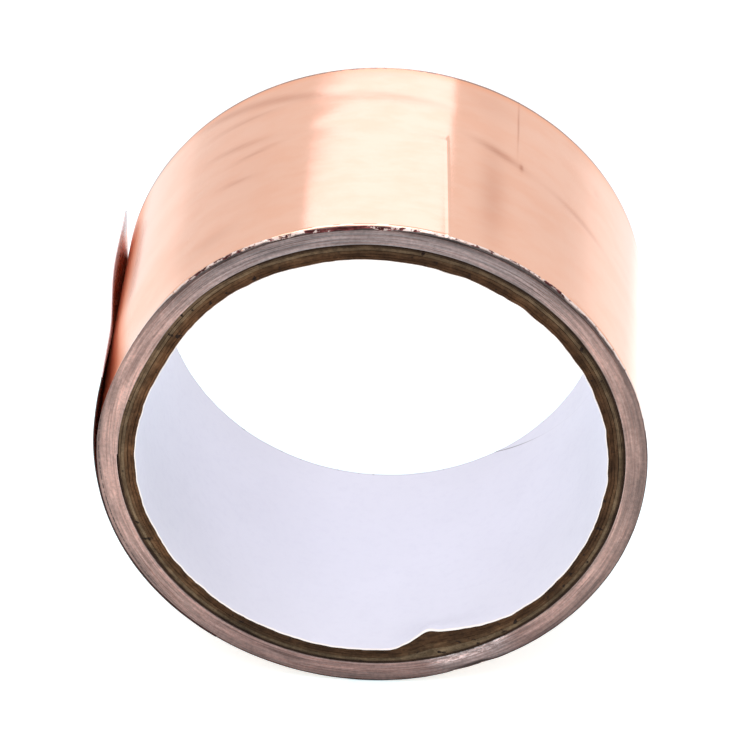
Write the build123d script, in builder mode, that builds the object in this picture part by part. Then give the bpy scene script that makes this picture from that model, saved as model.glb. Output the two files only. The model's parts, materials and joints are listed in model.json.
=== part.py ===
from build123d import *
import os
from math import ceil, cos, degrees, radians, sin

# A roll of copper foil tape on a spiral-wound paperboard core. Millimetres.
# The origin is the centre of the bore, Y runs along the bore, Z is up, and the roll stands on
# its rim. Angles are seen from the -Y end: 0 at +X, 90 at +Z. The tape is wound clockwise from
# the inside out, and its loose end stands off the roll at the -X side.

# Core: the bore fits 3 inch spindles, and the tape is 2 inches wide.
bore_radius = 38.1
tape_width = 50.8
lining_thickness = 0.2
ply_thickness = 0.54
ply_names = ["core_inner_ply", "core_second_ply", "core_middle_ply", "core_fourth_ply", "core_outer_ply"]

# Tape layers, from the face that lies on the roll to the bright outer face.
liner_thickness = 0.09
adhesive_thickness = 0.03
foil_thickness = 0.035
tape_thickness = liner_thickness + adhesive_thickness + foil_thickness
layers = [
    ("liner", 0, liner_thickness),
    ("adhesive", liner_thickness, liner_thickness + adhesive_thickness),
    ("foil", liner_thickness + adhesive_thickness, tape_thickness),
]

# Winding: the degrees that the tape turns through from its inner end, at 180 degrees, to where
# the outer wrap begins and to where it leaves the roll.
peel_angle = -125
wrap_begin = 41 * 180 - peel_angle
wrap_end = wrap_begin + 360

# Loose stretch: where it bends, and the clearance under it at the start, middle and end of the
# strip next to the roll and of the tail. The tail stands off more at its far edge.
fold_angle = -160
tip_angle = -199
strip_clearance = [0.10, 0.12, 0.25]
tail_near_clearance = [0.25, 0.30, 0.75]
tail_far_clearance = [0.25, 0.40, 2.30]
bonded_share = 0.25
bend_gap = 0.10
foil_peel_gap = 0.04

core_radius = bore_radius + lining_thickness + len(ply_names) * ply_thickness
centre_shift = tape_thickness / 4
rolled_radius = core_radius + centre_shift + tape_thickness * (wrap_end // 180) / 2
bend_gap_angle = degrees(bend_gap / rolled_radius)


def polar(radius, angle):
    return (radius * cos(radians(angle)), radius * sin(radians(angle)))


def save(piece, name):
    piece.part.label = name
    export_step(piece.part, f"parts/{name}.step")


def wound_line(height, begin, end):
    """Draw the wound tape's line at a height above its inner face, and return its two ends.

    Half circles about two centres, half a tape thickness apart, join smoothly, and each is half
    a tape thickness larger than the one before.
    """
    ends = []
    for half_turn in range(begin // 180, ceil(end / 180)):
        above = half_turn % 2 == 0
        lead = max(begin - 180 * half_turn, 0)
        arc = CenterArc(
            center=(centre_shift if above else -centre_shift, 0),
            radius=core_radius + centre_shift + height + half_turn * tape_thickness / 2,
            start_angle=(180 if above else 0) - lead,
            arc_size=lead - min(end - 180 * half_turn, 180),
        )
        ends += [arc @ 0, arc @ 1]
    return ends[0], ends[-1]


def wound_outline(begin, end, low, high):
    """Draw the cross-section of a wound layer between two heights above the tape's inner face."""
    low_start, low_end = wound_line(low, begin, end)
    high_start, high_end = wound_line(high, begin, end)
    Line(low_start, high_start)
    Line(low_end, high_end)


def loose_outline(clearances, angles, low, high, share=(0, 1)):
    """Draw the cross-section of a loose layer, or of a share of its length."""
    sides = []
    for height in (low, high):
        radii = [rolled_radius + clearance + height for clearance in clearances]
        points = [polar(radius, angle) for radius, angle in zip(radii, angles)]
        whole = ThreePointArc(*points, mode=Mode.PRIVATE)
        sides.append(ThreePointArc(whole @ share[0], whole @ (sum(share) / 2), whole @ share[1]))
    Line(sides[0] @ 0, sides[1] @ 0)
    Line(sides[0] @ 1, sides[1] @ 1)


os.makedirs("parts", exist_ok=True)

# --- Core: a white lining and five kraft plies, glued one on the other

with BuildPart() as core_lining:
    with BuildSketch(Plane.XZ):
        Circle(bore_radius + lining_thickness)
        Circle(bore_radius, mode=Mode.SUBTRACT)
    extrude(amount=tape_width / 2, both=True)
save(core_lining, "core_lining")

for index, name in enumerate(ply_names):
    ply_radius = bore_radius + lining_thickness + index * ply_thickness
    with BuildPart() as ply:
        with BuildSketch(Plane.XZ):
            Circle(ply_radius + ply_thickness)
            Circle(ply_radius, mode=Mode.SUBTRACT)
        extrude(amount=tape_width / 2, both=True)
    save(ply, name)

# --- Winding: liner, adhesive and foil wound together, then the outer wrap that covers them

for layer, low, high in layers:
    for name, begin, end in ((f"{layer}_windings", 0, wrap_begin), (f"outer_wrap_{layer}", wrap_begin, wrap_end)):
        with BuildPart() as winding:
            with BuildSketch(Plane.XZ):
                with BuildLine():
                    wound_outline(begin, end, low, high)
                make_face()
            extrude(amount=tape_width / 2, both=True)
        save(winding, name)

# --- Peeled strip: the stretch after the outer wrap, which comes away from the roll first

strip_angles = [peel_angle - bend_gap_angle, (peel_angle + fold_angle) / 2, fold_angle]

for layer, low, high in layers:
    with BuildPart() as strip:
        with BuildSketch(Plane.XZ):
            with BuildLine():
                loose_outline(strip_clearance, strip_angles, low, high)
            make_face()
        extrude(amount=tape_width / 2, both=True)
    save(strip, f"strip_{layer}")

# --- Tail: the free end. Its liner is whole. Foil and adhesive stay bonded to the liner over
# the first share of its length, and the rest of them peels off it.

tail_angles = [fold_angle - bend_gap_angle, (fold_angle + tip_angle) / 2, tip_angle]
bend_gap_share = bend_gap_angle / (fold_angle - tip_angle)
tail_pieces = [("tail_liner", 0, liner_thickness, (0, 1))]
for layer, low, high in layers[1:]:
    tail_pieces.append((f"bonded_{layer}", low, high, (0, bonded_share)))
    lifted = (low + foil_peel_gap, high + foil_peel_gap)
    tail_pieces.append((f"tail_{layer}", *lifted, (bonded_share + bend_gap_share, 1)))

for name, low, high, share in tail_pieces:
    with BuildPart() as tail:
        with BuildSketch(Plane.XZ.offset(tape_width / 2)):
            with BuildLine():
                loose_outline(tail_near_clearance, tail_angles, low, high, share)
            make_face()
        with BuildSketch(Plane.XZ.offset(-tape_width / 2)):
            with BuildLine():
                loose_outline(tail_far_clearance, tail_angles, low, high, share)
            make_face()
        loft(ruled=True)
    save(tail, name)
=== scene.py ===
import json
import math

import bpy
import numpy as np
from mathutils import Matrix, Quaternion, Vector


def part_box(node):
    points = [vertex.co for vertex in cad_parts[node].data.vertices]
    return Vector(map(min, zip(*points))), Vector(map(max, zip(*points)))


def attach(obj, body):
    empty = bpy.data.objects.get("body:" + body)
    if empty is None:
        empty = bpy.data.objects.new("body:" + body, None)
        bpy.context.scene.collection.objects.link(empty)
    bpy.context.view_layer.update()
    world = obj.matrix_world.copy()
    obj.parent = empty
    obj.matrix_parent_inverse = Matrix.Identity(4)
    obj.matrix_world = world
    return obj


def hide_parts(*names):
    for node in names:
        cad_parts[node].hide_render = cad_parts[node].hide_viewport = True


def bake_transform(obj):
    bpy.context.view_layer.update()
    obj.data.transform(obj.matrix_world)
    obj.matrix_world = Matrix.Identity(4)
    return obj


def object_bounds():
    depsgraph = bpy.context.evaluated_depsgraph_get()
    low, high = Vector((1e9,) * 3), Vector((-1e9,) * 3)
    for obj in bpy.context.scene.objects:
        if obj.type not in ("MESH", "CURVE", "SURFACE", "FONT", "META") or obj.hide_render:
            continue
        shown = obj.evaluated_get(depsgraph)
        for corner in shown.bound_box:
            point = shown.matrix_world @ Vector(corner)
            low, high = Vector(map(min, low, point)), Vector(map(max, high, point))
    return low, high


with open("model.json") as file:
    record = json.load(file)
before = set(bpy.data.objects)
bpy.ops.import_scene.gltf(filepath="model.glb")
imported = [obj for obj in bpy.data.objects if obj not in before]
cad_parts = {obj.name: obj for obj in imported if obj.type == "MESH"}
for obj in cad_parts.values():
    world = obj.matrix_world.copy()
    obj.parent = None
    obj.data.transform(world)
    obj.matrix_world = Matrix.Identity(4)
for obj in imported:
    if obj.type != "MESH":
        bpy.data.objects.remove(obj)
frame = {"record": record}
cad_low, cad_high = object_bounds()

# A roll of copper foil tape, its loose end lifting off the roll. Metres, in the CAD frame: the
# bore runs along Y, and angles are seen from the -Y end, 0 at +X and 90 at +Z. The tape is
# wound clockwise from the inside out, so its angle falls as it is followed outwards. Colours
# are linear. Places inside the materials are in millimetres, but noise over object space and
# the depths of bumps go by metres.

MM = 0.001

# ---------------------------------------------------------------- dimensions from the frame

MOUNTS = {mount["name"]: mount for mount in frame["record"]["mounts"]}
HALF_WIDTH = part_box("core_lining")[1].y
CORE_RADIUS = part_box("core_outer_ply")[1].x
BORE_RADIUS = MOUNTS["core_bore"]["dims"]["r_mm"] * MM
PLY_NODES = ["core_inner_ply", "core_second_ply", "core_middle_ply", "core_fourth_ply", "core_outer_ply"]
PLY_RADII = [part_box("core_lining")[1].x] + [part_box(node)[1].x for node in PLY_NODES]

LINER, ADHESIVE, FOIL = 0.09 * MM, 0.03 * MM, 0.035 * MM
TAPE = LINER + ADHESIVE + FOIL
LAYERS = {"liner": (0, LINER), "adhesive": (LINER, LINER + ADHESIVE), "foil": (LINER + ADHESIVE, TAPE)}
# The winding is drawn as half turns about two centres, this far to either side of the axis.
CENTRE_SHIFT = TAPE / 4

# Angles where the tape leaves the roll, bends, parts from its liner and ends.
PEEL_ANGLE, FOLD_ANGLE, PEEL_OFF_ANGLE, TIP_ANGLE = 235.0, 200.0, 190.3, 161.0
# Degrees that the tape turns through from its inner end, which is at 180 degrees, up to the
# outer wrap's end, to its beginning and to the free end.
WRAP_END = 43 * 180 + 125
WRAP_BEGIN = WRAP_END - 360
TAPE_TURNED = WRAP_END + PEEL_ANGLE - TIP_ANGLE


def tape_length(turned):
    """Length of tape wound in so many degrees, in metres."""
    return np.radians(turned) * (CORE_RADIUS + TAPE * turned / 720)


# ---------------------------------------------------------------- small tools for shapes

def smooth(value, low, high):
    """0 below low, 1 above high, and a smooth rise between them."""
    t = np.clip((value - low) / (high - low), 0, 1)
    return t * t * (3 - 2 * t)


def bell(value, centre, width):
    return np.exp(-(((value - centre) / width) ** 2))


def wander(x, spacing, seed, period=None):
    """Smooth random wander between -1 and 1 along x, repeating after period where one is given."""
    count = 4096 if period is None else max(3, round(period / spacing))
    step = spacing if period is None else period / count
    knots = np.random.default_rng(seed).uniform(-1, 1, count)
    cell = np.floor(x / step)
    t = x / step - cell
    t = t * t * (3 - 2 * t)
    cell = cell.astype(int)
    return knots[cell % count] * (1 - t) + knots[(cell + 1) % count] * t


def wander2(x, y, spacing, seed):
    """The same over an area: x in degrees round the roll, y in millimetres along it."""
    columns, rows = max(3, round(360 / spacing[0])), 512
    knots = np.random.default_rng(seed).uniform(-1, 1, (columns, rows))
    u, v = x * columns / 360, y / spacing[1]
    i, j = np.floor(u), np.floor(v)
    s, t = u - i, v - j
    s, t = s * s * (3 - 2 * s), t * t * (3 - 2 * t)
    i, j = i.astype(int), j.astype(int)

    def at(a, b):
        return knots[(i + a) % columns, (j + b) % rows]

    return (at(0, 0) * (1 - s) + at(1, 0) * s) * (1 - t) + (at(0, 1) * (1 - s) + at(1, 1) * s) * t


def softened(value, points, shifts):
    """The value looked up on the straight lines between points, averaged over small shifts."""
    return sum(np.interp(value + shift, *zip(*points)) for shift in shifts) / len(shifts)


def spot(angle, radius, y):
    """Points at an angle in degrees, a radius and a place along the bore."""
    angle, radius, y = np.broadcast_arrays(angle, radius, y)
    a = np.radians(angle)
    return np.stack([radius * np.cos(a), y, radius * np.sin(a)], -1)


def wound(turned, height):
    """Angle and radius of the wound tape, after so many degrees, at a height above its inner face."""
    half_turn = np.floor(turned / 180)
    above = half_turn % 2 == 0
    centre = np.where(above, CENTRE_SHIFT, -CENTRE_SHIFT)
    radius = CORE_RADIUS + CENTRE_SHIFT + height + half_turn * TAPE / 2
    a = np.radians(np.where(above, 180, 0) - (turned - 180 * half_turn))
    x, z = centre + radius * np.cos(a), radius * np.sin(a)
    return np.degrees(np.arctan2(z, x)) % 360, np.hypot(x, z)


def squeeze(angle, y):
    """The near end is pressed out of round at its upper left: how far inwards, in metres."""
    return 1.05 * bell(angle % 360, 153, 19) * (1 - smooth(y / MM, -25, -9)) * MM


def width_rows(count, edge_rows=(0, 0.06, 0.13, 0.22, 0.33, 0.48, 0.7, 1.0, 1.4)):
    """Shares of the half width, from -1 to 1, close together next to both edges.

    edge_rows are the distances of the close ones from their edge, in millimetres.
    """
    half = HALF_WIDTH / MM
    inward = np.concatenate([edge_rows, np.linspace(1.9, half, count // 2)])
    near = -(1 - inward / half)
    return np.concatenate([near, -near[-2::-1]])


# Degrees between two faces from which the edge between them is drawn sharp.
SHARP_ANGLE = 35


def shell(name, outer, inner, closed=False, along=None, marks=None):
    """A closed mesh between an outer and an inner surface.

    Each surface is an array of points, its rows clockwise round the roll and its columns from
    the -Y side to +Y. A closed one joins up with itself. along is each row's place on the tape,
    in metres. marks are values for the materials to read, at the outer surface's points, and
    the inner surface takes those of the near edge.
    """
    n, m = outer.shape[:2]
    inside = n * m
    points = np.concatenate([outer.reshape(-1, 3), inner.reshape(-1, 3)])
    i = np.arange(n if closed else n - 1)
    following = (i + 1) % n
    j = np.arange(m - 1)
    a = i[:, None] * m + j
    b = following[:, None] * m + j
    outer_quads = np.stack([a, b, b + 1, a + 1], -1).reshape(-1, 4)
    inner_quads = inside + outer_quads[:, ::-1]
    near = np.stack([following * m, i * m, inside + i * m, inside + following * m], -1)
    far = np.stack([i * m, following * m, inside + following * m, inside + i * m], -1) + m - 1
    faces = np.concatenate([outer_quads, inner_quads, near, far]).tolist()
    if not closed:
        start = np.stack([j, j + 1, inside + j + 1, inside + j], -1)
        end = (start + (n - 1) * m)[:, ::-1]
        faces += start.tolist() + end.tolist()
    mesh = bpy.data.meshes.new(name)
    mesh.from_pydata(points.tolist(), [], faces)

    def attribute(label, values):
        mesh.attributes.new(label, "FLOAT", "POINT").data.foreach_set("value", values.astype(np.float32))

    attribute("across", points[:, 1] / MM)
    if along is not None:
        attribute("along", np.tile(np.repeat(along, m), 2) / MM)
    for mark, values in (marks or {}).items():
        on_outer = np.broadcast_to(values, (n, m)).ravel()
        on_inner = np.repeat(np.broadcast_to(values, (n, m))[:, 0], m)
        attribute(mark, np.concatenate([on_outer, on_inner]))
    mesh.shade_smooth()
    mesh.set_sharp_from_angle(angle=math.radians(SHARP_ANGLE))
    piece = bpy.data.objects.new(name, mesh)
    bpy.context.scene.collection.objects.link(piece)
    return piece


# ---------------------------------------------------------------- materials

WHITE = (1.0, 1.0, 1.0)


class Paint:
    """A node material under construction. Most methods add a node and return its output."""

    def __init__(self, name):
        self.material = bpy.data.materials.new(name)
        self.material.use_nodes = True
        self.tree = self.material.node_tree
        self.shader = self.tree.nodes["Principled BSDF"]

    def set(self, socket, value):
        if isinstance(value, bpy.types.NodeSocket):
            self.tree.links.new(value, socket)
        elif socket.type == "RGBA" and len(value) == 3:
            socket.default_value = (*value, 1.0)
        else:
            socket.default_value = value

    def node(self, kind, inputs, output=0, **settings):
        node = self.tree.nodes.new(kind)
        for name, value in settings.items():
            setattr(node, name, value)
        for key, value in inputs.items():
            self.set(node.inputs[key], value)
        return node.outputs[output]

    def math(self, operation, a, b=0.0, c=0.0):
        return self.node("ShaderNodeMath", {0: a, 1: b, 2: c}, operation=operation)

    def times(self, *values):
        product = values[0]
        for value in values[1:]:
            product = self.math("MULTIPLY", product, value)
        return product

    def plus(self, *values):
        total = values[0]
        for value in values[1:]:
            total = self.math("ADD", total, value)
        return total

    def minus(self, a, b):
        return self.math("SUBTRACT", a, b)

    def size(self, value):
        return self.math("ABSOLUTE", value)

    def attribute(self, name):
        return self.node("ShaderNodeAttribute", {}, output="Fac", attribute_name=name)

    def object_space(self):
        return self.node("ShaderNodeTexCoord", {}, output="Object")

    def place(self):
        """The object-space place, its x, y and z in millimetres, and angle and radius round Y."""
        at = self.object_space()
        split = self.tree.nodes.new("ShaderNodeSeparateXYZ")
        self.tree.links.new(at, split.inputs[0])
        x, y, z = (self.times(axis, 1 / MM) for axis in split.outputs)
        angle = self.times(self.math("ARCTAN2", z, x), 180 / math.pi)
        radius = self.math("SQRT", self.plus(self.times(x, x), self.times(z, z)))
        return at, x, y, z, angle, radius

    def vector(self, x=0.0, y=0.0, z=0.0):
        return self.node("ShaderNodeCombineXYZ", {0: x, 1: y, 2: z})

    def noise(self, vector, scale, detail=2.0, roughness=0.5):
        inputs = {"Vector": vector, "Scale": scale, "Detail": detail, "Roughness": roughness}
        return self.node("ShaderNodeTexNoise", inputs)

    def ramp(self, value, low, high, start=0.0, end=1.0):
        """Maps low..high to start..end with a smooth step, held outside that range."""
        inputs = {"Value": value, "From Min": low, "From Max": high, "To Min": start, "To Max": end}
        return self.node("ShaderNodeMapRange", inputs, interpolation_type="SMOOTHSTEP")

    def mix(self, share, a, b):
        return self.node("ShaderNodeMix", {0: share, 6: a, 7: b}, output=2, data_type="RGBA")

    def tint(self, a, b):
        inputs = {0: 1.0, 6: a, 7: b}
        return self.node("ShaderNodeMix", inputs, output=2, data_type="RGBA", blend_type="MULTIPLY")

    def painted_tint(self, colour, share, by):
        """The colour multiplied by another one, over a share of the surface."""
        return self.tint(colour, self.mix(share, WHITE, by))

    def shade(self, colour, brightness):
        """The colour at a brightness, where 1 leaves it as it is."""
        return self.tint(colour, self.vector(brightness, brightness, brightness))

    def dimmed(self, share, amount):
        """A brightness that is lower by an amount, over a share of the surface."""
        return self.minus(1.0, self.times(share, amount))

    def bump(self, height, strength, distance):
        inputs = {"Height": height, "Strength": strength, "Distance": distance}
        return self.node("ShaderNodeBump", inputs)

    def finish(self, **inputs):
        for name, value in inputs.items():
            self.set(self.shader.inputs[name.replace("_", " ")], value)
        return self.material


def from_edge(paint, y):
    """Distance from the nearer end of the roll to a place y along it."""
    return paint.minus(HALF_WIDTH / MM, paint.size(y))


# Where the torn lump of board is, and how far its frayed surroundings reach, in degrees.
LUMP_ANGLE, FRAYED_REACH = -66.0, 13.0


def cut_edge(paint, tone):
    """Colour and normal of the tape's slit edges: greyish on top, pink at the sides and brown below, as
    painted light.

    Dark dashes of painted shade stand for a broken groove between two turns at the -X side, and
    painted light makes the edges lighter at the -X side half way up. They are pale and frayed next
    to the lump of board, with painted shade where they lie back behind the outer foil's bent edges
    and on the loose tape, which a mesh attribute marks.
    """
    at, x, y, z, angle, radius = paint.place()
    above_core = paint.minus(radius, CORE_RADIUS / MM)
    sideways = paint.math("DIVIDE", paint.size(x), radius)
    # Painted light: the tone changes round the ring, greyish on top, pink at the sides, brown below.
    colour = paint.mix(paint.ramp(z, -34.0, 30.0), (0.262, 0.182, 0.162), (0.268, 0.237, 0.232))
    colour = paint.mix(paint.ramp(sideways, 0.45, 0.98), colour, (0.400, 0.290, 0.252))

    streak = paint.noise(paint.vector(paint.times(angle, 0.05), paint.times(radius, 2.2)), 1.0, 4.0, 0.65)
    grain = paint.noise(at, 1500, 3.0, 0.7)
    cloud_at = paint.vector(paint.times(angle, 0.10), paint.times(radius, 0.7), 5.0)
    cloud = paint.noise(cloud_at, 1.0, 2.0, 0.5)
    light = paint.times(
        paint.ramp(streak, 0.30, 0.70, 0.66, 1.32),
        paint.ramp(cloud, 0.3, 0.7, 0.80, 1.18),
        paint.ramp(grain, 0.25, 0.75, 0.80, 1.20),
        paint.ramp(above_core, 1.5, 3.3, 1.04, 0.64),
        paint.ramp(above_core, 0.0, 1.3, 1.16, 1.0),
    )
    # Painted light: lighter at the -X side half way up, darker at the +X side.
    half_way_up = paint.ramp(paint.size(z), 26.0, 8.0)
    painted_left_light = paint.times(paint.ramp(x, -40.0, 40.0, 0.12, -0.18), half_way_up)
    light = paint.times(light, paint.plus(painted_left_light, 1.0))

    # Painted shade: dark dashes stand for a broken groove between two turns at the -X side.
    dash = paint.noise(paint.vector(paint.times(angle, 0.9), 3.0), 1.0, 1.0, 0.5)
    groove_shade = paint.times(
        paint.ramp(paint.size(paint.minus(above_core, 2.85)), 0.13, 0.05),
        paint.ramp(dash, 0.44, 0.52),
        paint.ramp(x, -30.0, -38.0),
    )
    # Painted shade where the edges lie back behind the outer foil's bent edges, and on the loose tape's
    # edges.
    set_back = paint.ramp(from_edge(paint, y), 0.16, 0.28)
    light = paint.times(
        light,
        paint.dimmed(groove_shade, 0.7),
        paint.dimmed(set_back, 0.48),
        paint.dimmed(paint.attribute("loose_tape_shade"), 0.88),
    )

    off_lump = paint.size(paint.minus(angle, LUMP_ANGLE))
    by_lump = paint.ramp(off_lump, FRAYED_REACH, FRAYED_REACH - 8.0)
    thread_at = paint.vector(paint.times(angle, 0.55), paint.times(radius, 2.6), 11.0)
    thread = paint.ramp(paint.noise(thread_at, 1.0, 3.0, 0.7), 0.47, 0.55)
    frayed = paint.times(by_lump, paint.ramp(above_core, 2.1, 0.8), thread)
    colour = paint.mix(paint.times(by_lump, 0.6), colour, (0.310, 0.272, 0.265))
    colour = paint.mix(paint.times(frayed, 0.8), colour, (0.62, 0.56, 0.55))
    return paint.tint(paint.shade(colour, light), tone), paint.bump(paint.plus(streak, grain), 0.5, 0.0001)


def cut_mask(paint):
    """1 on the tape's slit edges. Those of the wound tape lie up to 0.3 mm deeper."""
    wound_tape = paint.minus(1.0, paint.attribute("loose_tape_shade"))
    depth = paint.minus(from_edge(paint, paint.attribute("across")), paint.times(wound_tape, 0.3))
    return paint.ramp(depth, 0.25, 0.10)


def foil_edge():
    """The cut edges of the wound foil, dulled and smeared by the slitting knife."""
    p = Paint("copper_foil_edges")
    colour, normal = cut_edge(p, (1.25, 0.86, 0.76))
    return p.finish(Base_Color=colour, Metallic=0.35, Roughness=0.5, Normal=normal)


def foil_face(p, along, across, lines):
    """Colour of the foil's face: blotched and finely lined, with streaks of painted shade and reflection
    and a warm painted reflection on the dull stretch where the marks say, and a painted orange reflection
    by the far edge.
    """
    blotch = p.noise(p.vector(p.times(along, 0.6), across), 0.22, 3.0, 0.55)
    colour = p.mix(p.ramp(blotch, 0.35, 0.7), (0.970, 0.600, 0.444), (0.958, 0.560, 0.400))
    colour = p.mix(p.ramp(lines, 0.55, 0.8, 0.0, 0.4), colour, (0.90, 0.53, 0.39))
    # Painted shade and reflection in streaks, for the foil's unevenness and creases.
    colour = p.painted_tint(colour, p.times(p.attribute("streak_shade"), 0.55), (0.62, 0.48, 0.42))
    # Painted reflection: more orange by the far edge, where the foil bends down.
    from_far_edge = p.minus(HALF_WIDTH / MM, across)
    colour = p.painted_tint(colour, p.ramp(from_far_edge, 3.1, 0.6), (1.05, 0.88, 0.76))
    # Painted reflection: warmer over the dull stretch beside the loose tape.
    return p.painted_tint(colour, p.ramp(p.attribute("dull_and_painted_reflection"), 0.45, 1.0), (1.0, 0.74, 0.60))


def foil_rims(p, along, across, colour, rim):
    """The face's colour with its edges added: worn pale, dark at the lip, and with specks of soil and
    painted shade.
    """
    specks = p.noise(p.vector(p.times(along, 0.7), p.times(across, 2.0)), 1.0, 4.0, 0.7)
    flecks = p.noise(p.vector(p.times(along, 0.9), p.times(across, 2.0), 7.0), 1.0, 3.0, 0.6)
    worn = p.times(rim, p.ramp(flecks, 0.28, 0.42))
    colour = p.mix(p.times(worn, 0.85), colour, (0.93, 0.83, 0.79))
    lip = p.ramp(from_edge(p, across), 0.14, 0.06)
    colour = p.mix(p.times(lip, 0.65), colour, (0.17, 0.125, 0.115))
    # Dark maroon specks at the rims: soil, and painted shade of the gaps under the bent edges.
    dirt_and_shade = p.mix(p.ramp(flecks, 0.4, 0.6), (0.060, 0.018, 0.018), (0.150, 0.045, 0.045))
    soiled_and_shaded = p.ramp(p.plus(specks, p.times(p.attribute("soil_and_shade"), 0.26)), 0.60, 0.66)
    colour = p.mix(p.times(rim, soiled_and_shaded), colour, dirt_and_shade)
    worn_line = p.ramp(p.plus(specks, p.times(p.attribute("soil_and_shade"), 0.2)), 0.52, 0.62)
    far_line = p.ramp(p.minus(HALF_WIDTH / MM, across), 1.05, 0.80)
    return p.mix(p.times(far_line, worn_line, 0.8), colour, (0.26, 0.205, 0.185))


def copper_foil():
    """Rolled copper with fine lines along it, streaks of painted shade and reflection, and nicked edges
    with specks of soil and painted shade.

    The painted streaks, the soil and painted shade at the edges, and the dull stretch that the loose
    tape has just come off, which also carries a painted warm reflection, are mesh attributes of the
    outer wrap.
    """
    p = Paint("copper_foil")
    along, across = p.attribute("along"), p.attribute("across")
    lines = p.noise(p.vector(p.times(along, 0.03), p.times(across, 5.0)), 1.0, 4.0, 0.6)
    fine = p.noise(p.vector(along, across), 2.2, 3.0, 0.6)
    rim = p.ramp(from_edge(p, across), 0.35, 0.20)
    colour = foil_rims(p, along, across, foil_face(p, along, across, lines), rim)
    dulled = p.times(p.attribute("dull_and_painted_reflection"), 0.32)
    rough = p.plus(p.ramp(fine, 0.2, 0.8, 0.09, 0.14), p.times(rim, 0.2), dulled)
    relief = p.plus(p.times(lines, 0.6), p.times(fine, 0.4))
    return p.finish(Base_Color=colour, Metallic=1.0, Roughness=rough, Normal=p.bump(relief, 0.12, 0.00006))


def release_liner():
    """Thin paper with copper's colour and a metal finish, as a painted reflection of the copper it faces,
    bare at the tape's very end.
    """
    p = Paint("release_liner")
    edge, normal = cut_edge(p, (1.06, 1.06, 1.08))
    fibre = p.noise(p.object_space(), 900, 4.0, 0.7)
    # Painted reflection: the face is orange and metallic in place of white paper lit by the copper.
    reflected_copper = p.mix(p.ramp(fibre, 0.35, 0.65), (0.95, 0.44, 0.29), (0.92, 0.40, 0.26))
    tape_end = tape_length(TAPE_TURNED) / MM
    bare = p.ramp(p.attribute("along"), tape_end - 4.0, tape_end - 1.0)
    face = p.mix(bare, reflected_copper, (0.74, 0.71, 0.79))
    cut = cut_mask(p)
    rough = p.plus(p.ramp(fibre, 0.3, 0.7, 0.24, 0.30), p.times(cut, 0.3))
    metal = p.times(p.ramp(cut, 0.0, 1.0, 0.90, 0.0), p.minus(1.0, bare))
    return p.finish(Base_Color=p.mix(cut, face, edge), Metallic=metal, Roughness=rough, Normal=normal)


def acrylic_adhesive():
    """An amber film of adhesive, dull where it is cut."""
    p = Paint("acrylic_adhesive")
    edge, normal = cut_edge(p, (0.86, 0.80, 0.76))
    wet = p.noise(p.object_space(), 260, 3.0, 0.6)
    face = p.mix(p.ramp(wet, 0.35, 0.65), (0.36, 0.25, 0.20), (0.27, 0.17, 0.13))
    cut = cut_mask(p)
    rough = p.plus(p.ramp(wet, 0.3, 0.7, 0.12, 0.3), p.times(cut, 0.4))
    return p.finish(Base_Color=p.mix(cut, face, edge), Roughness=rough, Normal=normal)


def board(name, light, dark, painted_glow, painted_tint=None):
    """Brown recycled board: its fibres lie round the core, with patches and dark specks.

    The fourth argument is how much lighter it is at the -X side than elsewhere, as painted light.
    The last is the colour of a dark line of painted shade, in the gap between its outer part and
    the tape.
    """
    p = Paint(name)
    at, x, y, z, angle, radius = p.place()
    round_roll = p.vector(p.times(angle, 0.22), p.times(radius, 2.0), p.times(y, 0.9))
    fibre = p.noise(round_roll, 1.0, 4.0, 0.65)
    patch = p.noise(at, 260, 3.0, 0.6)
    grain = p.noise(at, 1400, 3.0, 0.7)
    colour = p.mix(p.ramp(fibre, 0.3, 0.7), dark, light)
    # A dark line of painted shade in the gap next to the tape.
    if painted_tint:
        middle = (PLY_RADII[-2] + PLY_RADII[-1]) / 2 / MM
        ragged = p.plus(radius, p.times(p.noise(at, 500, 2.0, 0.5), 0.3))
        colour = p.mix(p.ramp(ragged, middle - 0.05, middle + 0.10), colour, painted_tint)
    light_patch = p.times(p.ramp(patch, 0.3, 0.72, 0.68, 1.32), p.ramp(grain, 0.25, 0.75, 0.72, 1.28))
    # Painted light: lighter towards the -X side.
    colour = p.shade(colour, p.times(light_patch, p.ramp(x, -10.0, -36.0, 1.0, painted_glow)))
    lower_left = p.times(p.ramp(z, -18.0, -34.0), p.ramp(x, 8.0, -6.0))
    colour = p.shade(colour, p.dimmed(lower_left, 0.38))
    speck = p.ramp(p.noise(at, 800, 2.0, 0.5), 0.64, 0.72)
    colour = p.mix(speck, colour, (0.018, 0.010, 0.007))
    rough = p.ramp(fibre, 0.2, 0.8, 0.95, 0.8)
    normal = p.bump(p.plus(fibre, grain), 0.6, 0.0002)
    return p.finish(Base_Color=colour, Roughness=rough, Specular_IOR_Level=0.12, Normal=normal)


# The lining's spiral seam: the angle where it leaves the far edge, and millimetres along a turn.
SEAM_ANGLE, SEAM_LEAD = -58.5, 92.0


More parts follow.
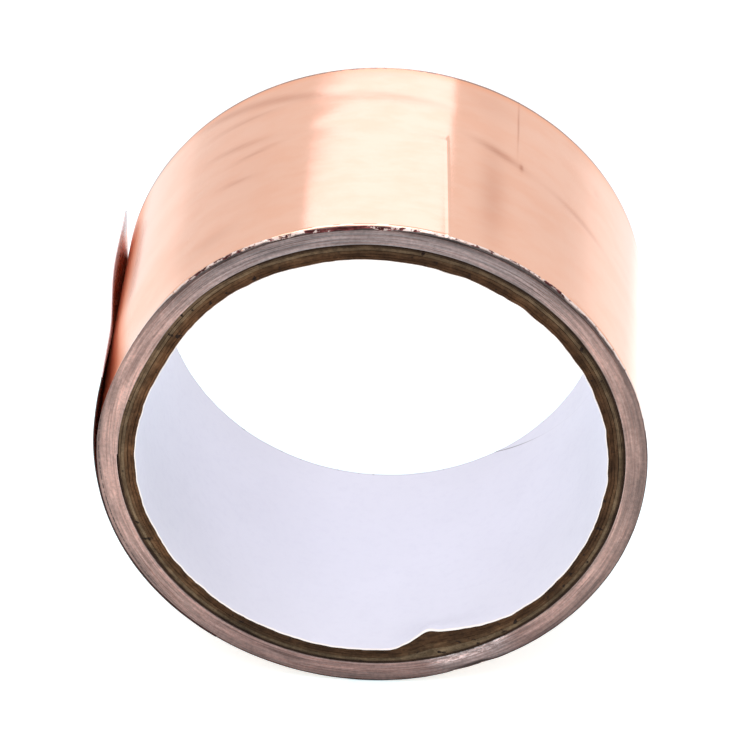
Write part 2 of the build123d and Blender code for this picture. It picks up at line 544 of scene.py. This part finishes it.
def white_lining():
    """Smooth white paper with a hair seam in a spiral, faint fibres, dark dashes along the far edge and a
    torn, paler lip.
    """
    p = Paint("white_lining")
    at, x, y, z, angle, _ = p.place()
    end = HALF_WIDTH / MM
    fibre = p.noise(at, 700, 4.0, 0.7)
    cloud = p.noise(at, 45, 2.0, 0.5)
    colour = p.mix(p.ramp(cloud, 0.3, 0.7), (0.768, 0.766, 0.838), (0.738, 0.736, 0.806))
    colour = p.mix(p.ramp(fibre, 0.45, 0.75, 0.0, 0.25), colour, (0.67, 0.665, 0.75))
    # Painted light and shade: darker towards -X and the near end, lighter higher up.
    light = p.times(p.ramp(x, -37.0, -4.0, 0.92, 1.02), p.ramp(y, -22.0, 18.0, 0.95, 1.08))
    colour = p.shade(colour, light)
    colour = p.shade(colour, p.ramp(z, -16.0, 6.0, 1.0, 1.12))

    turned = p.math("FLOORED_MODULO", p.minus(angle, SEAM_ANGLE), 360.0)
    seam_y = p.minus(end, p.times(turned, SEAM_LEAD / 360))
    off_seam = p.size(p.minus(y, seam_y))
    seam = p.times(p.ramp(off_seam, 0.20, 0.04), p.ramp(turned, 18.0, 4.0, 0.06, 0.85))
    dash = p.noise(p.vector(p.times(angle, 0.35), 9.0), 1.0, 1.0, 0.5)
    far_edge_dashes = p.times(p.ramp(y, end - 0.5, end - 0.2), p.ramp(dash, 0.58, 0.66, 0.14, 0.6))
    colour = p.mix(p.math("MAXIMUM", seam, far_edge_dashes), colour, (0.24, 0.22, 0.24))
    near_lip = p.ramp(y, 0.4 - end, 0.1 - end)
    colour = p.mix(near_lip, colour, (0.93, 0.85, 0.80))
    rough = p.ramp(fibre, 0.3, 0.7, 0.48, 0.6)
    return p.finish(Base_Color=colour, Roughness=rough, Normal=p.bump(fibre, 0.12, 0.00006))


# How much the floor shines by itself, as painted light: under the roll besides the rest, which hides the
# roll's shadow, about it, and far off.
NEAR_GLOW, FLOOR_GLOW, FAR_GLOW = 0.32, 0.11, 0.09


def studio_floor():
    """A pale surface that glows as painted light, brightest round the roll and tinted under it, with the
    slightest mottling.
    """
    p = Paint("studio_floor")
    at = p.object_space()
    off_centre = p.node("ShaderNodeVectorMath", {0: at, 1: (-0.08, 0.0, 0.0)}, operation="SUBTRACT")
    distance = p.node("ShaderNodeVectorMath", {0: off_centre}, output="Value", operation="LENGTH")
    from_roll = p.node("ShaderNodeVectorMath", {0: at}, output="Value", operation="LENGTH")
    mottle = p.noise(at, 6.0, 2.0, 0.5)
    colour = p.mix(p.ramp(mottle, 0.3, 0.7), (0.93, 0.93, 0.93), (0.91, 0.91, 0.91))
    # Painted light: the floor glows most under the roll, to hide its shadow, and more towards -X.
    painted_glow = p.plus(
        p.ramp(distance, 0.20, 1.60, FLOOR_GLOW, FAR_GLOW),
        p.ramp(from_roll, 0.11, 0.18, NEAR_GLOW, 0.0),
    )
    # Painted light: a bluish green tint under the roll, against the copper's colour reflected onto the
    # floor.
    hue = p.mix(p.ramp(from_roll, 0.11, 0.18), (0.62, 1.0, 1.10), (0.98, 0.99, 1.0))
    return p.finish(Base_Color=colour, Roughness=0.9, Emission_Color=hue, Emission_Strength=painted_glow)


COPPER = copper_foil()
FOIL_EDGE = foil_edge()
LINER_PAPER = release_liner()
GLUE = acrylic_adhesive()
# Colour of the painted shade in the gap between the core and the tape.
GAP_SHADE = (0.030, 0.016, 0.009)
GAP_SHADED_BOARD = board("gap_shaded_board", (0.112, 0.074, 0.043), (0.070, 0.043, 0.024), 1.25, GAP_SHADE)
OLIVE_BOARD = board("olive_board", (0.136, 0.092, 0.054), (0.088, 0.056, 0.031), 1.25)
KRAFT = board("kraft", (0.094, 0.052, 0.026), (0.056, 0.028, 0.013), 1.35)
BROWN_KRAFT = board("brown_kraft", (0.076, 0.037, 0.017), (0.039, 0.018, 0.008), 1.6)
LINING_PAPER = white_lining()

TAPE_PAINT = {"liner": LINER_PAPER, "adhesive": GLUE, "foil": COPPER}


def dress(piece, paint, nodes, body=None):
    """Material, the CAD nodes that the piece stands for, and the body it rides on."""
    piece.data.materials.append(paint)
    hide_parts(*nodes)
    if body:
        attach(piece, body)


# ---------------------------------------------------------------- core

# Where torn board swells into the bore at the near edge: angle, and how far in, in millimetres.
SWELLING = [
    (-84, 0),
    (-79.5, 1.45),
    (-75.5, 3.05),
    (-73.5, 3.35),
    (-71, 2.6),
    (-68, 2.25),
    (-60.6, 1.05),
    (-56, 0.55),
    (-51, 0.18),
    (-45, 0),
]
# It reaches this far along the bore, in millimetres, and fades towards this radius.
SWELLING_DEPTH = 7.0
SWELLING_RADIUS = 40.7 * MM

LINING_ROWS, PLY_ROWS = 60, 40


def swelling(angle, y):
    """How far the torn board stands into the bore, in metres."""
    turned = (angle + 180) % 360 - 180
    from_near_end = (y + HALF_WIDTH) / MM
    rise = softened(turned, SWELLING, np.linspace(-0.9, 0.9, 7))
    fade = 1 - smooth(from_near_end, 0.2, SWELLING_DEPTH)
    rough = 0.10 * wander(turned % 360, 4, 21, 360) + 0.05 * wander(turned % 360, 1.4, 22, 360)
    return (rise + rough * bell(from_near_end, 0, 3)) * fade * MM


def core_ring(name, low, high, rows, ends, seed):
    """A ply of the core. ends is how far it stands out of the near and the far face."""
    angles = -np.arange(0, 360, 0.75)
    near = -HALF_WIDTH - ends[0] - 0.05 * MM * wander(angles % 360, 2.5, seed, 360)
    far = HALF_WIDTH + ends[1] + 0.05 * MM * wander(angles % 360, 2.5, seed + 1, 360)
    bevel = min(0.03 * MM, 0.25 * (high - low))
    share = np.linspace(0, 1, rows)[None, :]
    inset = np.where((share == 0) | (share == 1), bevel, 0)
    y = near[:, None] * (1 - share) + far[:, None] * share
    angles = angles[:, None]
    uneven = 0.03 * MM * wander2(angles % 360, y / MM, (9, 6), seed + 2)
    surfaces = []
    for radius, side in ((high, -1), (low, 1)):
        reach = np.clip((SWELLING_RADIUS - radius) / (SWELLING_RADIUS - BORE_RADIUS), 0, 1)
        r = radius - reach * swelling(angles, y) - squeeze(angles, y) + uneven
        surfaces.append(spot(angles, r + side * inset, y))
    return shell(name, *surfaces, closed=True)


lining = core_ring("lining_paper", BORE_RADIUS, PLY_RADII[0], LINING_ROWS, (0.0, 0.0), 101)
dress(lining, LINING_PAPER, ["core_lining"], "roll")

# From the bore outwards: material, slot, and millimetres out of the near and the far face.
PLY_LOOKS = [
    (BROWN_KRAFT, "kraft_board", (0.00, 0.02)),
    (BROWN_KRAFT, "grey_board", (-0.02, -0.03)),
    (KRAFT, "grey_board", (0.02, 0.0)),
    (OLIVE_BOARD, "kraft_board", (-0.02, -0.05)),
    (GAP_SHADED_BOARD, "kraft_board", (-0.12, -0.12)),
]
for index, (paint, slot, ends) in enumerate(PLY_LOOKS):
    node = PLY_NODES[index]
    low, high = PLY_RADII[index:index + 2]
    ends = (ends[0] * MM, ends[1] * MM)
    ply = core_ring(node + "_board", low, high, PLY_ROWS, ends, 200 + 10 * index)
    dress(ply, paint, [node], "roll")


# ---------------------------------------------------------------- wound tape

def over_top(angle):
    """1 where the foil's edges are bent down over the roll's ends: on top and at a spot below."""
    return smooth(angle, 18, 34) * (1 - smooth(angle, 134, 150)) + bell(angle, 293, 7)


# By layer: the seed of its edges' fine wander, and millimetres that they lie back.
EDGE_SEED = {"liner": 31, "adhesive": 32, "foil": 33}
EDGE_BACK = {"liner": 0.01, "adhesive": 0.05, "foil": 0.0}


def edge_places(turned, v, layer):
    """Places along the bore of a layer's points, whose edges wander from turn to turn."""
    seed = EDGE_SEED[layer]
    near = 0.05 * wander(turned, 23, 41) + 0.03 * wander(turned, 7, 42) + 0.02 * wander(turned, 3, seed)
    far = 0.05 * wander(turned, 21, 43) + 0.03 * wander(turned, 8, 44) + 0.02 * wander(turned, 3, seed + 5)
    near_shift = (near + EDGE_BACK[layer]) * smooth(-v, 0.93, 1.0)
    far_shift = (far + EDGE_BACK[layer]) * smooth(v, 0.93, 1.0)
    return v * HALF_WIDTH + (near_shift - far_shift) * MM


def wound_layer(name, layer, turned, set_back):
    """One layer of wound tape, two points across, its edges set back from the roll's ends."""
    low, high = LAYERS[layer]
    v = np.array([[-1, 1]])
    surfaces = []
    for height in (high, low):
        angle, radius = wound(turned, height)
        y = edge_places(turned[:, None], v, layer) - v * set_back[:, None]
        surfaces.append(spot(angle[:, None], radius[:, None] - squeeze(angle[:, None], y), y))
    return shell(name, *surfaces, along=tape_length(turned))


# How far the last turns stand back from the roll's ends, behind the outer foil's bent edges, and
# over which stretch before the outer wrap this begins, in degrees.
LIP_COVER = 0.26 * MM
COVER_FROM, COVER_TO = WRAP_BEGIN - 1700, WRAP_BEGIN - 1300

inner_turns = np.linspace(0, WRAP_BEGIN, 4200)
outer_turn = np.arange(WRAP_BEGIN, WRAP_END + 0.5, 0.75)
inner_cover = LIP_COVER * smooth(inner_turns, COVER_FROM, COVER_TO) * over_top(wound(inner_turns, 0)[0])
outer_cover = 0.06 * MM + LIP_COVER * over_top(wound(outer_turn, 0)[0])
for layer in LAYERS:
    turns = wound_layer(f"{layer}_turns", layer, inner_turns, inner_cover)
    paint = FOIL_EDGE if layer == "foil" else TAPE_PAINT[layer]
    dress(turns, paint, [f"{layer}_windings"], "roll")
    if layer != "foil":
        outer = wound_layer(f"outer_{layer}", layer, outer_turn, outer_cover)
        dress(outer, paint, [f"outer_wrap_{layer}"], "roll")


# ---------------------------------------------------------------- outer foil

FIRST_CREASE = 75.3
SECOND_CREASE = 60.0
# Streaks of painted shade and reflection: angle, y, half length in degrees, half width, mm of slant a
# degree, strength.
PAINTED_STREAKS = [
    (65.6, -9.0, 3.0, 15.0, 0.00, 0.75),
    (64.0, 5.4, 5.5, 1.1, 0.25, 1.25),
    (43.0, 1.3, 7.5, 0.9, 0.18, 0.85),
    (52.0, -6.0, 10.0, 13.0, 0.00, 0.20),
    (87.0, 15.6, 11.0, 1.0, 0.12, 0.70),
    (92.0, 23.0, 10.0, 1.2, 0.00, 0.35),
    (112.0, 19.2, 10.0, 1.3, 0.22, 0.90),
    (126.0, 21.8, 8.0, 1.1, 0.20, 0.75),
    (121.0, 16.6, 8.0, 0.7, 0.05, 0.75),
    (122.0, 8.5, 6.5, 0.8, 0.12, 0.80),
    (117.0, 4.0, 5.0, 0.6, -0.12, 0.75),
    (121.0, -3.0, 4.0, 0.7, 0.10, 0.75),
    (125.0, -18.0, 5.0, 2.0, -0.05, 0.36),
    (117.0, -4.0, 11.0, 24.0, 0.00, 0.25),
    (66.0, 20.0, 6.0, 5.0, 0.00, 0.36),
    (60.0, 17.0, 0.25, 7.0, 0.00, 1.10),
    (59.0, 4.2, 0.5, 1.0, 0.00, 1.40),
    (37.2, 15.2, 0.8, 0.6, 0.00, 0.60),
]


def slanted_spot(angle, y, middle, length, height, width, slant=0.0):
    """1 at a spot on the foil, fading over a length in degrees and a width in millimetres.

    middle and height are its angle and its y, and slant is how much y rises per degree.
    """
    off = angle - middle
    return bell(off, 0, length) * bell(y - height - slant * off, 0, width)


def painted_streaks(angle, y):
    """Strength of the painted streaks of shade and reflection at places on the outer foil, y in
    millimetres.
    """
    total = 0.05 * (1 + wander2(angle, y, (18, 1.3), 61)) * smooth(angle, 95, 125)
    for middle, height, length, width, slant, strength in PAINTED_STREAKS:
        total = total + strength * slanted_spot(angle, y, middle, length, height, width, slant)
    # Painted shade along the far rim.
    total = total + 0.15 * smooth(y, 22.9, 25.2)
    return np.clip(total, 0, 1.8)


def lip_depth(angle):
    """How far the foil's edges are bent down over the roll's ends, in millimetres."""
    depth = 0.06 + 0.22 * over_top(angle) + 0.48 * bell(angle, 95, 17) + 0.12 * bell(angle, 47, 14)
    depth = depth + 0.15 * bell(angle, 123, 9) + 0.16 * bell(angle, 292, 7)
    return depth * (1 + 0.3 * wander(angle % 360, 1.7, 54, 360))


def near_soil_and_shade(angle):
    """How much soil and painted shade the foil's near edge has in dark specks, by angle."""
    low = 1 - smooth(angle, -5, 22) * (1 - smooth(angle, 170, 185))
    low = low * (1 - bell(angle, 292, 6))
    on_top = 0.8 * bell(angle, 95, 11) + 0.35 * bell(angle, 48, 12) + 0.55 * bell(angle, 122, 9)
    return 0.1 + on_top + 1.2 * low


def far_soil_and_shade(angle):
    """How much soil and painted shade the far edge has, by angle: only over the top, and little in its
    middle.
    """
    return smooth(angle, 8, 16) * (1 - smooth(angle, 160, 172)) * (1 - 0.8 * bell(angle, 90, 12))


def waves(angle, y):
    """The foil's gentle unevenness, in millimetres."""
    long_waves = 0.045 * wander2(angle, y, (50, 5.0), 51) * smooth(y, -14, 16)
    ripples = 0.024 * wander2(angle, y, (26, 9.0), 52)
    left_of_top = smooth(angle, 96, 112) * (1 - smooth(angle, 128, 140))
    return long_waves + ripples + 0.016 * wander2(angle, y, (12, 2.4), 53) * left_of_top


def creases(angle, y):
    """The foil's creases, furrows and dents, in millimetres."""
    ridge = FIRST_CREASE + 0.05 * (y + 10)
    step = smooth(angle, ridge - 0.5, ridge) * smooth(-angle, -92, -76)
    first = (0.085 * bell(angle, ridge, 0.30) + 0.070 * step) * smooth(4.9 - y, 0, 1.6)
    second = 0.03 * bell(angle, SECOND_CREASE, 0.22) * smooth(y, 8.0, 9.5)
    pinch = 0.04 * slanted_spot(angle, y, 59.0, 0.5, 4.3, 1.2)
    furrows = -0.07 * slanted_spot(angle, y, 88, 13, 15.52, 1.5, 0.12)
    furrows = furrows - 0.05 * slanted_spot(angle, y, 64, 6, 5.4, 1.2, 0.25)
    furrows = furrows - 0.035 * slanted_spot(angle, y, 43, 8, 1.3, 1.0, 0.18)
    dent = -0.04 * slanted_spot(angle, y, 37.2, 0.6, 15.2, 0.5)
    return first + second + pinch + furrows + dent


def relief(angle, y):
    """How far the outer foil stands off the turn under it, in metres; y is in millimetres.

    It lies flat under the loose tape.
    """
    off_loose_tape = np.abs((angle - 198 + 180) % 360 - 180)
    height = 0.13 + waves(angle, y) + creases(angle, y)
    lip = lip_depth(angle) * smooth(np.abs(y), 24.8, 25.42) ** 2
    return (np.maximum(height, 0.01) - lip) * smooth(off_loose_tape, 48, 66) * MM


def outer_foil():
    """The outermost turn of foil, with close rows of points at its two creases."""
    even = np.arange(WRAP_BEGIN, WRAP_END, 0.8)
    middles = [WRAP_BEGIN + (PEEL_ANGLE - angle) % 360 for angle in (FIRST_CREASE, SECOND_CREASE)]
    close = [np.arange(middle - 1.6, middle + 1.6, 0.1) for middle in middles]
    turned = np.unique(np.concatenate([even, *close, [WRAP_END]]))
    turned = turned[np.concatenate([[True], np.diff(turned) > 0.04])]
    low, high = LAYERS["foil"]
    v = width_rows(62)[None, :]
    surfaces = []
    for height in (high, low):
        angle, radius = wound(turned, height)
        angle = angle[:, None]
        y = v * HALF_WIDTH + 0.3 * (edge_places(turned[:, None], v, "foil") - v * HALF_WIDTH)
        surfaces.append(spot(angle, radius[:, None] + relief(angle, y / MM) - squeeze(angle, y), y))
    marks = {
        "streak_shade": painted_streaks(angle, y / MM),
        "soil_and_shade": np.where(v > 0, far_soil_and_shade(angle), near_soil_and_shade(angle)),
        # The dull stretch under the loose tape, which also gets a painted warm reflection.
        "dull_and_painted_reflection": smooth(angle, 148, 160) * (1 - smooth(angle, 190, 200)),
    }
    return shell("outer_foil", *surfaces, along=tape_length(turned), marks=marks)


dress(outer_foil(), COPPER, ["outer_wrap_foil"], "roll")


# ---------------------------------------------------------------- loose tape

# Clearance under the tape's near edge, in millimetres, by angle.
NEAR_CLEARANCE = [
    (235, 0.07),
    (200, 0.08),
    (186, 0.10),
    (180, 0.18),
    (176, 0.25),
    (170, 0.32),
    (166, 0.52),
    (161, 0.78),
]
# The free end is straight. Its distance from the bore's axis, by share of the width from near.
FLAP_DISTANCE = [
    (0, 42.65),
    (0.1, 42.8),
    (0.32, 42.95),
    (0.4, 43.36),
    (0.5, 43.80),
    (0.6, 44.18),
    (0.7, 44.30),
    (1, 44.04),
]
# A length along the tape from a piece's hinge line; bend() works out where it ends but does not use it.
BEND_LENGTH = 6 * MM


def stand_off(angle, v, under):
    """How far the loose tape stands off the turn under it, in metres; v runs -1 near to 1 far."""
    share = (v + 1) / 2
    near = softened(-angle, [(-place, gap) for place, gap in NEAR_CLEARANCE], (-2, 0, 2))
    near = near * (1 - 0.85 * smooth(share, 0.0, 0.5))
    distance = softened(share, FLAP_DISTANCE, (-0.06, -0.03, 0, 0.03, 0.06))
    straight = np.abs(angle - 180) < 60
    flap = np.where(straight, distance / np.maximum(np.cos(np.radians(180 - angle)), 0.3) - under / MM, 0)
    flap = np.maximum(flap, 0) * smooth(185 - angle, 0, 6)
    return (near**4 + flap**4 + 0.07**4) ** 0.25 * MM


def loose_layer(name, layer, start, end):
    """One layer of the loose end, between two angles."""
    low, high = LAYERS[layer]
    angles = np.linspace(start, end, max(8, round((start - end) / 0.5)))
    turned = WRAP_END + PEEL_ANGLE - angles
    angle, under = wound(turned - 360, TAPE)
    angle, under = angle[:, None], under[:, None]
    v = width_rows(56, edge_rows=(0, 0.2, 0.5))[None, :]
    y = edge_places(turned[:, None], v, layer)
    r = under + stand_off(angle, v, under)
    surfaces = [spot(angle, r + height, y) for height in (high, low)]
    # The loose tape's cut edges get painted shade, and its rims heavy soil and painted shade.
    marks = {"loose_tape_shade": np.ones((len(angles), 1)), "soil_and_shade": np.full((len(angles), 1), 1.3)}
    return shell(name, *surfaces, along=tape_length(turned), marks=marks)


def bend(piece, layer, node, angle):
    """Dresses a piece of the loose tape, which rides on no body, and bakes its place into its mesh. The
    points on its hinge line at an angle are worked out but not used.
    """
    dress(piece, TAPE_PAINT[layer], [node])
    radius = cad_high.z
    start = spot(angle, radius, 0.0)
    end = spot(angle - math.degrees(BEND_LENGTH / radius), radius, 0.0)
    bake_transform(piece)


for layer in LAYERS:
    strip = loose_layer(f"peeled_{layer}", layer, PEEL_ANGLE, FOLD_ANGLE)
    bend(strip, layer, f"strip_{layer}", PEEL_ANGLE)

liner_end = loose_layer("loose_liner", "liner", FOLD_ANGLE, TIP_ANGLE)
bend(liner_end, "liner", "tail_liner", FOLD_ANGLE)
for layer in ("adhesive", "foil"):
    bonded = loose_layer(f"loose_bonded_{layer}", layer, FOLD_ANGLE, PEEL_OFF_ANGLE)
    bend(bonded, layer, f"bonded_{layer}", FOLD_ANGLE)
    free = loose_layer(f"loose_{layer}", layer, PEEL_OFF_ANGLE, TIP_ANGLE)
    bend(free, layer, f"tail_{layer}", PEEL_OFF_ANGLE)


# ---------------------------------------------------------------- floor, light and camera

# Metres from the floor's middle to its sides, and how far it lies below the roll.
FLOOR_REACH = 6.0
FLOOR_GAP = 0.3 * MM
WORLD_COLOUR = (0.92, 0.885, 0.89, 1.0)
# The camera's bearing from -Y towards +X, height and roll, in degrees, and its distance in metres.
CAMERA_BEARING, CAMERA_HEIGHT, CAMERA_ROLL = 2.33, 33.58, 0.4
CAMERA_DISTANCE = 0.6127
LENS, LENS_SHIFT = 176.3, -0.0030


def studio():
    """The floor just below the roll, and an even light from all round."""
    floor_mesh = bpy.data.meshes.new("floor")
    height = cad_low.z - FLOOR_GAP
    sides = [(-1, -1), (1, -1), (1, 1), (-1, 1)]
    corners = [(x * FLOOR_REACH, y * FLOOR_REACH, height) for x, y in sides]
    floor_mesh.from_pydata(corners, [], [(0, 1, 2, 3)])
    floor_mesh.materials.append(studio_floor())
    floor = bpy.data.objects.new("floor", floor_mesh)
    bpy.context.scene.collection.objects.link(floor)
    world = bpy.data.worlds.new("studio")
    world.use_nodes = True
    background = world.node_tree.nodes["Background"]
    background.inputs["Color"].default_value = WORLD_COLOUR
    background.inputs["Strength"].default_value = 1.0
    bpy.context.scene.world = world


def softbox(name, azimuth, elevation, distance, size, power, colour=WHITE, tilt=0):
    """An area light aimed at the roll from a bearing (0 is +Y, 90 is +X) and a height in degrees."""
    a, e = math.radians(azimuth), math.radians(elevation)
    towards = Vector((math.sin(a) * math.cos(e), math.cos(a) * math.cos(e), math.sin(e)))
    light = bpy.data.lights.new(name, "AREA")
    light.shape = "RECTANGLE"
    light.size, light.size_y = size
    light.energy = power
    light.color = colour
    lamp = bpy.data.objects.new(name, light)
    lamp.location = towards * distance
    lamp.rotation_mode = "QUATERNION"
    lamp.rotation_quaternion = towards.to_track_quat("Z", "Y") @ Quaternion((0, 0, 1), math.radians(tilt))
    bpy.context.scene.collection.objects.link(lamp)


def camera():
    """A long lens from in front and above, aimed at the middle of the roll and rolled a little."""
    bearing, height, roll = map(math.radians, (CAMERA_BEARING, CAMERA_HEIGHT, CAMERA_ROLL))
    level = math.cos(height)
    back = Vector((math.sin(bearing) * level, -math.cos(bearing) * level, math.sin(height)))
    right = (-back).cross(Vector((0, 0, 1))).normalized()
    up = right.cross(-back)
    turned_right = right * math.cos(roll) + up * math.sin(roll)
    turned_up = up * math.cos(roll) - right * math.sin(roll)
    data = bpy.data.cameras.new("camera")
    data.sensor_width = 36.0
    data.lens = LENS
    data.shift_x = LENS_SHIFT
    cam = bpy.data.objects.new("camera", data)
    axes = Matrix((turned_right, turned_up, back)).transposed()
    cam.matrix_world = Matrix.Translation(back * CAMERA_DISTANCE) @ axes.to_4x4()
    bpy.context.scene.collection.objects.link(cam)
    bpy.context.scene.camera = cam


studio()
softbox("back_softbox", -0.4, 41, 0.7, (0.40, 0.34), 0.276, colour=(1.0, 0.98, 1.22), tilt=8)
softbox("front_softbox", -168, 62, 0.9, (0.7, 0.6), 2.4)
camera()
bpy.context.scene.view_settings.view_transform = "Standard"
